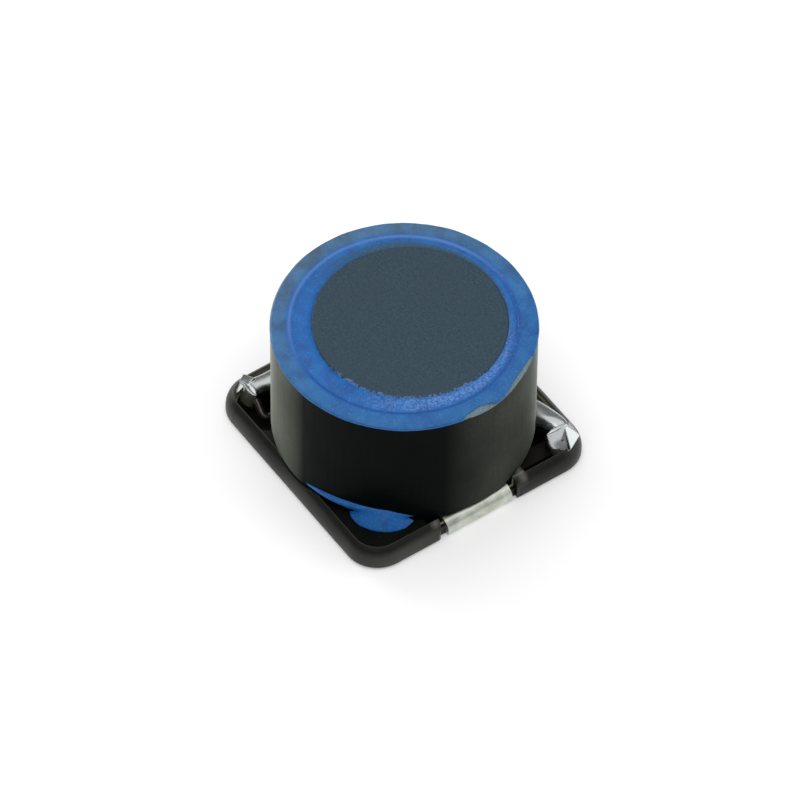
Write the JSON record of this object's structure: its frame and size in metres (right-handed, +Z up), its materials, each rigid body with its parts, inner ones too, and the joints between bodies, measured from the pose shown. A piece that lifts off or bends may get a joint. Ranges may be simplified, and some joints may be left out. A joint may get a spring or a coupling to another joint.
{
  "type": "shielded smd inductor",
  "caption": "Surface-mount power inductor: a wound ferrite drum core in a ferrite ring, glued to a square moulded base with clip terminals at two edges.",
  "frame": {"origin": "centre of the footprint, on the plane of the solder lands, so the board's surface is Z = 0", "axes": "+Z up from the board along the cores' axis, +X towards the front terminal's edge"},
  "size_m": [0.0126, 0.0126, 0.0075],
  "materials": {
    "moulded_resin": "moulded satin",
    "tinned_strip": "matte tin plate",
    "drum_ferrite": "ground matte ferrite",
    "ring_ferrite": "sintered satin ferrite",
    "enamelled_wire": "enamelled copper",
    "solder": "bright solder",
    "blue_adhesive": "cured epoxy"
  },
  "bodies": {
    "root": {"base": "moulded_resin", "front_terminal": "tinned_strip", "rear_terminal": "tinned_strip", "drum_core": "drum_ferrite", "shield_ring": "ring_ferrite", "winding": "enamelled_wire", "front_solder": "solder", "rear_solder": "solder", "gap_adhesive": "blue_adhesive", "front_corner_adhesive": "blue_adhesive", "rear_corner_adhesive": "blue_adhesive"}
  },
  "joints": []
}
